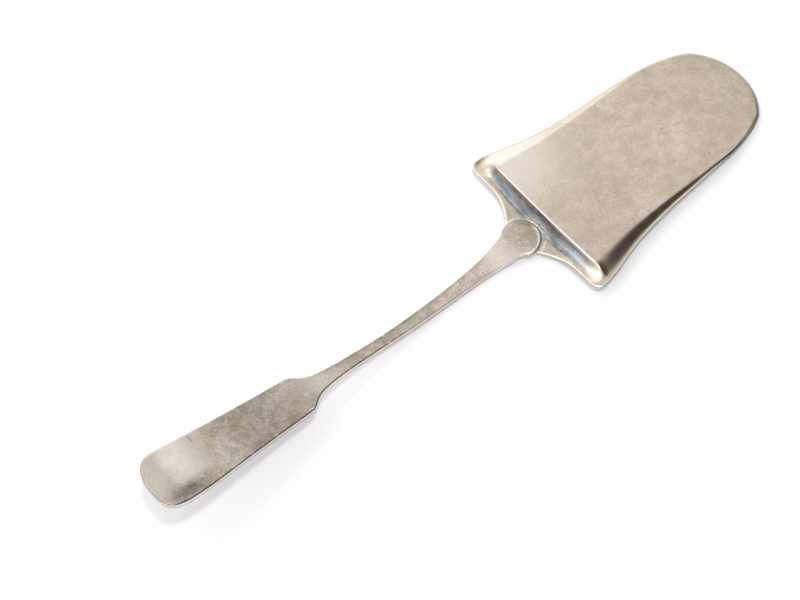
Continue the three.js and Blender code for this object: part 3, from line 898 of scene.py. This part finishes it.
def blade_masks(back, signed, inset):
    """Where the blade is tarnished, and where shade, highlights and reflections are painted on it,
    as one value for each point.
    """
    side = np.abs(signed)
    panel, left = back < crease_back(side), signed > 0
    behind = back - crease_back(side)
    cove = np.minimum(COVE["run"], (trailing_back(side) - crease_back(side)) * COVE["share"])
    run = through(WALL_RUN)(back)
    ring, turn = round_heel(back, signed)
    inside = 1 - smooth(side, 23, 28)
    right = smooth(-signed, -5, 15)
    early = smooth(signed, 17, 22)
    middle = spot(signed, -1, 4)
    return {
        "valley": inside * band(behind, 0.9, 1.5, (0.75 - 0.15 * early) * cove,
                                (1 - 0.15 * early) * cove + 0.7),
        # A darker strip on the steep wall just behind the crease: painted shade, with blue tarnish.
        "strip": (band(behind, mix(0.3, 0.7, right), mix(0.5, 1.0, right), 1.0, 1.45)
                  * (1 - 0.6 * middle) * (1 - smooth(side, 22, 26))),
        "film": (band(behind, 2.0 - early, 2.8 - early, 4.0 - early, 5.2 - early)
                 * smooth(signed, -24, -13) * (1 - 0.9 * middle) * inside),
        "ledge": (smooth(behind, 3.6, 4.4) * smooth(inset, 0.6, 1.2)
                  * smooth(signed, -19, -13) * inside),
        # Painted highlight: light streaks low in the valley, on its right and in the middle.
        "gleam": ((band(-signed, 5, 14, 20.5, 23.5) + 1.2 * middle)
                  * band(behind, 1.2 - 0.5 * middle, 1.6 - 0.5 * middle, 2.4, 3.2)),
        # Darker round the heel's front: painted shade where the heel stands over the blade, with
        # tarnish.
        "lap": (1 - smooth(ring, 8.2, 10.5)) * smooth(back, 104, 106),
        "seam": spot(ring, 8.6, 0.25) * band(turn, -55, -40, 30, 45),
        # Painted highlight on the solder fillet round the heel, strongest at its sides.
        "fillet": (spot(ring, 8.45, 0.5) * (smooth(-turn, 40, 55) + 0.8 * smooth(turn, 50, 65))
                   * (1 - smooth(np.abs(turn), 95, 110))),
        # Painted highlight on the flat lip of the rim.
        "rim": 1 - smooth(inset, 0.25, 0.65),
        # Painted sheen: the panel lighter towards the crease and the left.
        "worn": (smooth(back, 45, 100) * smooth(signed, -14, 24)) ** 2 * panel,
        # Painted shade: the right side wall darker and warmer.
        "lee": (band(inset, 0.15 * run, 0.35 * run, 0.6 * run, 0.95 * run) * smooth(back, 32, 48)
                * (1 - 0.85 * smooth(back, 87, 101)) * (signed < 0) * panel),
        # Painted reflection: the left side wall lighter.
        "flare": ((1 - smooth(inset, 0.6 * run, 1.2 * run)) * smooth(back, 35, 60)
                  * left * panel),
        # Painted shade round the left back corner.
        "corner": (smooth(back, 99, 103) * (1 - smooth(inset, 1.4, 3.0)) * left
                   * (1 - smooth(behind, 3, 5))),
        # Painted shade in the hollow at the left end of the crease.
        "pocket": spot(back, 103.4, 1.1) * spot(side, 26.0, 1.5) * left,
        # Painted highlights: a hot spot on each back corner.
        "hot": (spot(back, 105.5, 1.2) * spot(signed, -28.5, 2.4)
                + spot(back, 101.8, 1.5) * spot(signed, 31.2, 1.6)),
        # Painted highlight along the crease.
        "fold": (spot(behind, mix(0.08, 0.36, right), mix(0.22, 0.4, right))
                 * (1 - smooth(side, 25, 28)))}


class SPATULA_OT_blade(bpy.types.Operator):
    """Make the sheet blade with its raised panel, flared rim, wings and tongue"""
    bl_idname = "spatula.blade"
    bl_label = "Make the blade"

    def execute(self, context):
        sizes, finish = context.scene.spatula_blade, context.scene.spatula_finish
        rows, outline = blade_plan(sizes.nose / MM)
        plan, quads = whole_grid(rows)
        points, faces, inset = sheet_body(
            plan, quads, lambda back, side: blade_height(back, side, outline),
            sizes.sheet / MM, sizes.edge / MM, tongue_aside)
        points[:, 2] = np.maximum(points[:, 2], TABLE + SHEET["clearance"])
        piece = mesh_object("blade_sheet", *in_frame(points, faces))
        add_values(piece, blade_masks(points[:, 0], points[:, 1], inset))
        add_edge_values(piece, lit=(0.1, 0.5))
        piece.data.materials.append(silver("Blade silver", finish.silver, BLADE_FINISH))
        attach(piece, "root")
        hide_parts("blade")
        return {"FINISHED"}


def forge_tree():
    """Geometry nodes that turn a flat blank into a forged body: its faces follow two height
    profiles along X, and its edges are rounded by their distance from the outline."""
    tree, given, end = group_tree(
        "Forge from a blank", "GeometryNodeTree",
        {"Geometry": "Geometry", "Heel edge": 0.0004, "Stem edge": 0.0003, "Paddle edge": 0.0006,
         "Tip": 0.0, "Table": 0.0, "Material": "Material"}, {"Geometry": "Geometry"})
    tree.is_modifier = True
    place = node(tree, "ShaderNodeSeparateXYZ", {0: out(tree, "GeometryNodeInputPosition")})
    x, y, z = (Wire(tree, socket) for socket in place.outputs)
    back = (given("Tip") - x) * (1 / MM)

    def profile(stations):
        """A height over back, as a curve through the stations."""
        first, last, most = PROFILE["first"], PROFILE["last"], PROFILE["most"]
        value = through(stations)
        backs = [first, *(b for b, _ in stations if first < b < last), last]
        curve = node(tree, "ShaderNodeFloatCurve",
                     {"Value": ramp(tree, back, first, last, kind="LINEAR")})
        points = curve.mapping.curves[0].points
        while len(points) < len(backs):
            points.new(0.5, 0.5)
        for point, b in zip(points, backs):
            point.location = ((b - first) / (last - first), float(value(b)) / most)
            point.handle_type = "AUTO"
        curve.mapping.update()
        return Wire(tree, curve.outputs[0]) * most

    lap = [(b, tongue_height(b) + NECK["solder"]) for b in (100, 106, 110, 114, 118, 121, 122.6)]
    upper = profile(HANDLE_UPPER)
    under = maths(tree, "MAXIMUM", profile(lap + HANDLE_UNDER), given("Table"))
    radius = given("Heel edge")
    for edge, low, high in (("Stem edge", 117.0, 128.0), ("Paddle edge", 170.0, 186.0)):
        radius = mix_value(tree, ramp(tree, back, low, high), radius, given(edge))
    radius = maths(tree, "MINIMUM", radius * (1 / MM), (upper - under) * 0.45)

    alone = out(tree, "GeometryNodeInputMeshEdgeNeighbors")
    on_border = out(tree, "FunctionNodeCompare", {2: alone, 3: 1}, data_type="INT",
                    operation="EQUAL")
    outline = out(tree, "GeometryNodeSeparateGeometry",
                  {"Geometry": given("Geometry"), "Selection": on_border}, domain="EDGE")
    distance = out(tree, "GeometryNodeProximity", {0: outline}, "Distance",
                   target_element="EDGES")
    marked = out(tree, "GeometryNodeStoreNamedAttribute",
                 {"Geometry": given("Geometry"), "Name": "inset", "Value": distance * (1 / MM)},
                 data_type="FLOAT", domain="POINT")
    raised = out(tree, "GeometryNodeExtrudeMesh",
                 {"Mesh": marked, "Offset": (0.0, 0.0, 1.0), "Offset Scale": MM,
                  "Individual": False}, mode="FACES")
    turned = out(tree, "GeometryNodeFlipFaces", {"Mesh": marked})
    merged = out(tree, "GeometryNodeMergeByDistance",
                 {"Geometry": joined(tree, raised, turned), "Distance": 5e-7})

    inset = out(tree, "GeometryNodeInputNamedAttribute", {"Name": "inset"}, data_type="FLOAT")
    missing = radius - maths(tree, "MINIMUM", inset, radius)
    arc = maths(tree, "SQRT", maths(tree, "MAXIMUM", 0.0, radius ** 2.0 - missing ** 2.0))
    rounding = radius - arc
    is_upper = maths(tree, "GREATER_THAN", z, MM / 2)
    face = mix_value(tree, is_upper, under + rounding, upper - rounding)
    moved = out(tree, "ShaderNodeCombineXYZ", {0: x, 1: y, 2: (face - given("Table")) * MM})
    shaped = out(tree, "GeometryNodeSetPosition", {"Geometry": merged, "Position": moved})
    finish_tree(tree, shaped, given("Material"), end)
    return tree


def joined(tree, *geometries):
    join = tree.nodes.new("GeometryNodeJoinGeometry")
    for geometry in geometries:
        connect(tree, join, {0: geometry})
    return Wire(tree, join.outputs[0])


def finish_tree(tree, geometry, material, end):
    """Every geometry tree ends alike: smooth, realized, and with its material."""
    for kind, inputs in (("GeometryNodeSetShadeSmooth", {}), ("GeometryNodeRealizeInstances", {}),
                         ("GeometryNodeSetMaterial", {"Material": material})):
        geometry = out(tree, kind, {"Geometry": geometry, **inputs})
    connect(tree, end, {0: geometry})


def made_by_nodes(piece, tree, inputs):
    """Runs a geometry tree on a piece and keeps the result as its plain mesh."""
    modifier = piece.modifiers.new(tree.name, "NODES")
    modifier.node_group = tree
    sockets = {s.name: s.identifier for s in tree.interface.items_tree if s.in_out == "INPUT"}
    for name, value in inputs.items():
        modifier[sockets[name]] = value
    graph = bpy.context.evaluated_depsgraph_get()
    mesh = bpy.data.meshes.new_from_object(piece.evaluated_get(graph), depsgraph=graph)
    piece.modifiers.remove(modifier)
    piece.data = mesh
    mesh.name = piece.name
    return mesh


def handle_masks(back, side, up, inset):
    """Where the handle has painted shade and highlights, and its duller heel, as one value for each
    point. up is how far the point faces up."""
    ring, turn = round_heel(back, side)
    across = side / through(HANDLE_HALF)(back)
    front = 1 - smooth(back, 115.5, 119)
    faces_up = smooth(up, 0.3, 0.6)
    low_edge = smooth(-side, -1, 2) * smooth(back, 203, 213)
    return {
        # Painted shade across the middle of the paddle.
        "dull": spot(back, 237, 15),
        # Painted shade along the left flank of the stem.
        "flank": smooth(across, 0.25, 0.95) * band(back, 126, 136, 205, 215),
        # Painted highlight on the heel's bevel, strongest on its right.
        "bevel": (spot(inset, 0.35 + 0.8 * smooth(turn, -85, -40), 0.25) * front
                  * smooth(up, 0.5, 0.8) * mix(0.15, 1.0, smooth(-turn, -15, 15))),
        # Painted shade on the side of the heel's edge, where it stands over the blade.
        "notch": ((1 - smooth(inset, 0.2, 0.5)) * front * smooth(up, 0.0, 0.2)
                  * mix(0.3, 1.0, band(-turn, 0, 25, 45, 70)) * (1 - 0.7 * smooth(-turn, 60, 75))),
        # A dark line along the paddle's lower edge and round its end: painted shade, with some
        # grime.
        "line": ((1 - smooth(inset, 0.15, 0.6)) * faces_up
                 * np.maximum(low_edge, smooth(back, 276, 281))),
        # Painted sheen on the paddle's end, the neck and the shoulder.
        "pale": (spot(back, 269, 9) * smooth(side, -8, -2) + 0.22 * smooth(back, 274, 279)
                 + 0.8 * spot(back, 125, 7) + 0.45 * spot(back, 211, 9)),
        # Painted shade along the rounded upper edges.
        "rim": (1 - smooth(inset, 0.05, 0.5)) * faces_up,
        "shade": spot(back, 273, 6.5) * spot(side, -8, 2.4),
        # Painted highlight on the paddle's end.
        "glow": spot(back, 272, 4.5) * spot(side, 5, 3),
        "heel": 1 - smooth(back, 118, 132),
        # Painted shade just inside the heel's edge on its left.
        "dusk": band(ring, 4.6, 6.4, 7.3, 7.6) * band(turn, 0, 20, 62, 80)}


class SPATULA_OT_handle(bpy.types.Operator):
    """Make the forged handle: the round heel, the thin arched stem and the wide paddle"""
    bl_idname = "spatula.handle"
    bl_label = "Make the handle"

    def execute(self, context):
        sizes, finish = context.scene.spatula_handle, context.scene.spatula_finish
        plan, quads = whole_grid(handle_plan())
        plan = handle_aside(plan)
        blank = np.column_stack([(TIP_X - plan[:, 0]) * MM, plan[:, 1] * MM,
                                 np.zeros(len(plan))])
        if point_normals(blank, quads)[:, 2].mean() < 0:
            quads = quads[:, ::-1]
        piece = mesh_object("handle_forged", blank, quads.tolist())
        mesh = made_by_nodes(piece, forge_tree(), {
            "Heel edge": sizes.heel_edge, "Stem edge": sizes.stem_edge,
            "Paddle edge": sizes.paddle_edge, "Tip": TIP_X * MM, "Table": TABLE,
            "Material": silver("Handle silver", finish.handle, HANDLE_FINISH)})
        back, side, normals = measured(piece)
        inset = np.empty(len(mesh.vertices), np.float32)
        mesh.attributes["inset"].data.foreach_get("value", inset)
        add_values(piece, handle_masks(back, side, normals[:, 2], inset))
        add_edge_values(piece)
        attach(piece, "root")
        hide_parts("handle")
        return {"FINISHED"}


def bead_tree():
    """Geometry nodes that run a thin bead of solder round the heel's front."""
    tree, given, end = group_tree(
        "Solder bead", "GeometryNodeTree",
        {"Geometry": "Geometry", "Heel radius": 0.0078, "Bead radius": 0.0003, "Reach": 1.8,
         "Centre": "Vector", "Tilt": 0.0, "Material": "Material"}, {"Geometry": "Geometry"})
    tree.is_modifier = True
    arc = out(tree, "GeometryNodeCurveArc",
              {"Resolution": 96, "Radius": given("Heel radius"),
               "Start Angle": given("Reach") * -1.0, "Sweep Angle": given("Reach") * 2.0},
              mode="RADIUS")
    along = out(tree, "GeometryNodeSplineParameter", output="Factor")
    wave = out(tree, "ShaderNodeTexNoise", {"Scale": 900.0, "Detail": 2.0})
    taper = (ramp(tree, along, 0.0, 0.22) * ramp(tree, along, 0.78, 1.0, 1.0, 0.0)
             * ramp(tree, wave, 0.3, 0.7, 0.8, 1.15))
    swollen = out(tree, "GeometryNodeSetCurveRadius",
                  {"Curve": arc, "Radius": maths(tree, "MAXIMUM", taper, 0.08)})
    ring = out(tree, "GeometryNodeCurvePrimitiveCircle",
               {"Resolution": 12, "Radius": given("Bead radius")})
    tube = node(tree, "GeometryNodeCurveToMesh",
                {"Curve": swollen, "Profile Curve": ring, "Fill Caps": True})
    if "Scale" in tube.inputs:
        connect(tree, tube, {"Scale": out(tree, "GeometryNodeInputRadius")})
    turn = out(tree, "ShaderNodeCombineXYZ", {1: given("Tilt")})
    placed = out(tree, "GeometryNodeTransform",
                 {"Geometry": Wire(tree, tube.outputs[0]), "Translation": given("Centre"),
                  "Rotation": turn})
    finish_tree(tree, joined(tree, placed, given("Geometry")), given("Material"), end)
    return tree


class SPATULA_OT_solder(bpy.types.Operator):
    """Make the solder: a film in the lap, and a bead round the heel's front"""
    bl_idname = "spatula.solder"
    bl_label = "Make the solder"

    def execute(self, context):
        sizes, finish = context.scene.spatula_solder, context.scene.spatula_finish
        shares = np.sin(np.pi / 2 * np.linspace(0, 1, 11))
        half_at = through(HANDLE_HALF)
        rows = heel_rows(HEEL["radius"] + sizes.proud / MM, shares,
                         lambda back: half_at(back) - sizes.proud / MM)
        plan, quads = whole_grid([row for row in rows if row[0, 0] < SOLDER["end"]])
        film = sizes.film / MM
        points, faces, _ = sheet_body(
            plan, quads, lambda back, side: tongue_height(back) + SOLDER["air"] + film, film,
            SOLDER["edge"], lambda flat: flat)
        piece = mesh_object("solder_lap", *in_frame(points, faces))
        centre_height = tongue_height(HEEL["back"]) + SOLDER["bead_up"]
        made_by_nodes(piece, bead_tree(), {
            "Heel radius": (HEEL["radius"] + SOLDER["bead_out"]) * MM,
            "Bead radius": sizes.bead, "Reach": sizes.reach,
            "Centre": ((TIP_X - HEEL["back"]) * MM, 0.0, (centre_height - TABLE) * MM),
            "Tilt": -math.atan(TONGUE["fall"]),
            "Material": silver("Solder", finish.bright, SOLDER_FINISH)})
        back, side, _ = measured(piece)
        ring, turn = round_heel(back, side)
        upper, lower = smooth(turn, 40, 55), smooth(-turn, 50, 72)
        groove = 1 - smooth(ring - HEEL["radius"], 0.08 + 0.22 * upper, 0.25 + 0.3 * upper)
        add_values(piece, {"groove": groove * (1 - 0.8 * lower)})
        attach(piece, "root")
        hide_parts("solder_seam")
        return {"FINISHED"}


# ---- The stage ----

def seen_directly(tree):
    """1 where the camera, a reflection or something clear looks at a surface."""
    path = node(tree, "ShaderNodeLightPath").outputs
    camera, glossy, clear = (Wire(tree, path[f"Is {kind} Ray"])
                             for kind in ("Camera", "Glossy", "Transmission"))
    return maths(tree, "MAXIMUM", maths(tree, "MAXIMUM", camera, glossy), clear)


def make_floor(settings):
    corners = np.array([(-1, -1, 0), (1, -1, 0), (1, 1, 0), (-1, 1, 0)], float) * FLOOR_HALF
    floor = mesh_object("floor", corners, [(0, 1, 2, 3)])
    material, tree, shader = new_material("Table")
    connect(tree, shader,
            {"Base Color": (*bpy.context.scene.spatula_finish.floor, 1), "Roughness": 1.0,
             "Specular IOR Level": 0.0, "Emission Color": (1, 1, 1, 1),
             "Emission Strength": seen_directly(tree) * settings.fill})
    floor.data.materials.append(material)


def view_axes(turn):
    """The camera's right, and the way it looks, as level directions."""
    return (Vector((math.cos(turn), -math.sin(turn), 0)),
            Vector((math.sin(turn), math.cos(turn), 0)))


def make_world(settings):
    """A white room with a large soft ceiling light, a lighter window side and two darker bands."""
    world = bpy.data.worlds.new("Studio")
    world.use_nodes = True
    tree = world.node_tree
    tree.nodes.clear()
    direction = out(tree, "ShaderNodeTexCoord", output="Generated")
    right, away = view_axes(settings.turn)

    def towards(axis, *limits):
        dot = vector_maths(tree, "DOT_PRODUCT", direction, tuple(Vector(axis).normalized()),
                           output="Value")
        return ramp(tree, dot, *limits)

    window = towards(-0.45 * right + 0.85 * away + Vector((0, 0, 0.1)), 0.5, 0.82, 0.0, 0.3)
    window = (window + towards(right, -0.5, 0.2, 1.15, 0.87)) * settings.ceiling
    dark_right = towards(right, 0.26, 0.7, 1.0, 0.03)
    dark_left = towards(-0.93 * right - 0.3 * away, 0.85, 0.96, 1.0, 0.4)
    shade = out(tree, "ShaderNodeBackground",
                {"Color": (1, 1, 1, 1), "Strength": window * (dark_right * dark_left)})
    node(tree, "ShaderNodeOutputWorld", {0: shade})
    bpy.context.scene.world = world


def make_lamp(settings, name, across, along, size, distance, power):
    """A round soft lamp above the part, off the zenith by shares of its height across and along
    the camera's view."""
    right, away = view_axes(settings.turn)
    lamp = bpy.data.lights.new(name, "AREA")
    lamp.shape = "DISK"
    lamp.size = size
    lamp.energy = power
    holder = bpy.data.objects.new(name, lamp)
    direction = (Vector((0, 0, 1)) + across * right + along * away).normalized()
    holder.location = direction * distance
    holder.rotation_euler = direction.to_track_quat("Z", "Y").to_euler()
    bpy.context.scene.collection.objects.link(holder)


def make_camera(settings):
    turn, rise = settings.turn, settings.rise
    back = Vector((-math.sin(turn) * math.cos(rise), -math.cos(turn) * math.cos(rise),
                   math.sin(rise)))
    data = bpy.data.cameras.new("Camera")
    data.lens = settings.lens
    data.sensor_width = 36
    data.clip_start = 0.01
    camera = bpy.data.objects.new("Camera", data)
    camera.location = Vector(CAMERA_AIM) + back * settings.distance
    camera.rotation_euler = back.to_track_quat("Z", "Y").to_euler()
    bpy.context.scene.collection.objects.link(camera)
    bpy.context.scene.camera = camera


class SPATULA_OT_stage(bpy.types.Operator):
    """Make the white table, the soft room, the lamps and the camera"""
    bl_idname = "spatula.stage"
    bl_label = "Make the stage"

    def execute(self, context):
        settings = context.scene.spatula_stage
        make_floor(settings)
        make_world(settings)
        for name, (*numbers, power) in LAMPS.items():
            make_lamp(settings, name, *numbers, getattr(settings, power))
        make_camera(settings)
        context.scene.view_settings.view_transform = "Standard"
        return {"FINISHED"}


class SPATULA_PT_panel(bpy.types.Panel):
    """Lists the makers of the spatula's pieces, with their sizes and colours"""
    bl_idname = "SPATULA_PT_panel"
    bl_label = "Serving spatula"
    bl_space_type = "VIEW_3D"
    bl_region_type = "UI"
    bl_category = "Spatula"

    def draw(self, context):
        layout = self.layout
        for setting, group in SETTINGS.items():
            box = layout.box()
            for name in group.__annotations__:
                box.prop(getattr(context.scene, setting), name)
        for maker in MAKERS:
            layout.operator(maker.bl_idname)


MAKERS = (SPATULA_OT_blade, SPATULA_OT_handle, SPATULA_OT_solder, SPATULA_OT_stage)


def register():
    for group in SETTINGS.values():
        bpy.utils.register_class(group)
    for setting, group in SETTINGS.items():
        setattr(bpy.types.Scene, setting, PointerProperty(type=group))
    for maker in MAKERS:
        bpy.utils.register_class(maker)
    bpy.utils.register_class(SPATULA_PT_panel)


def unregister():
    bpy.utils.unregister_class(SPATULA_PT_panel)
    for maker in reversed(MAKERS):
        bpy.utils.unregister_class(maker)
    for setting, group in SETTINGS.items():
        delattr(bpy.types.Scene, setting)
        bpy.utils.unregister_class(group)


def main():
    register()
    bpy.ops.spatula.blade()
    bpy.ops.spatula.handle()
    bpy.ops.spatula.solder()
    bpy.ops.spatula.stage()


if __name__ == "__main__":
    main()
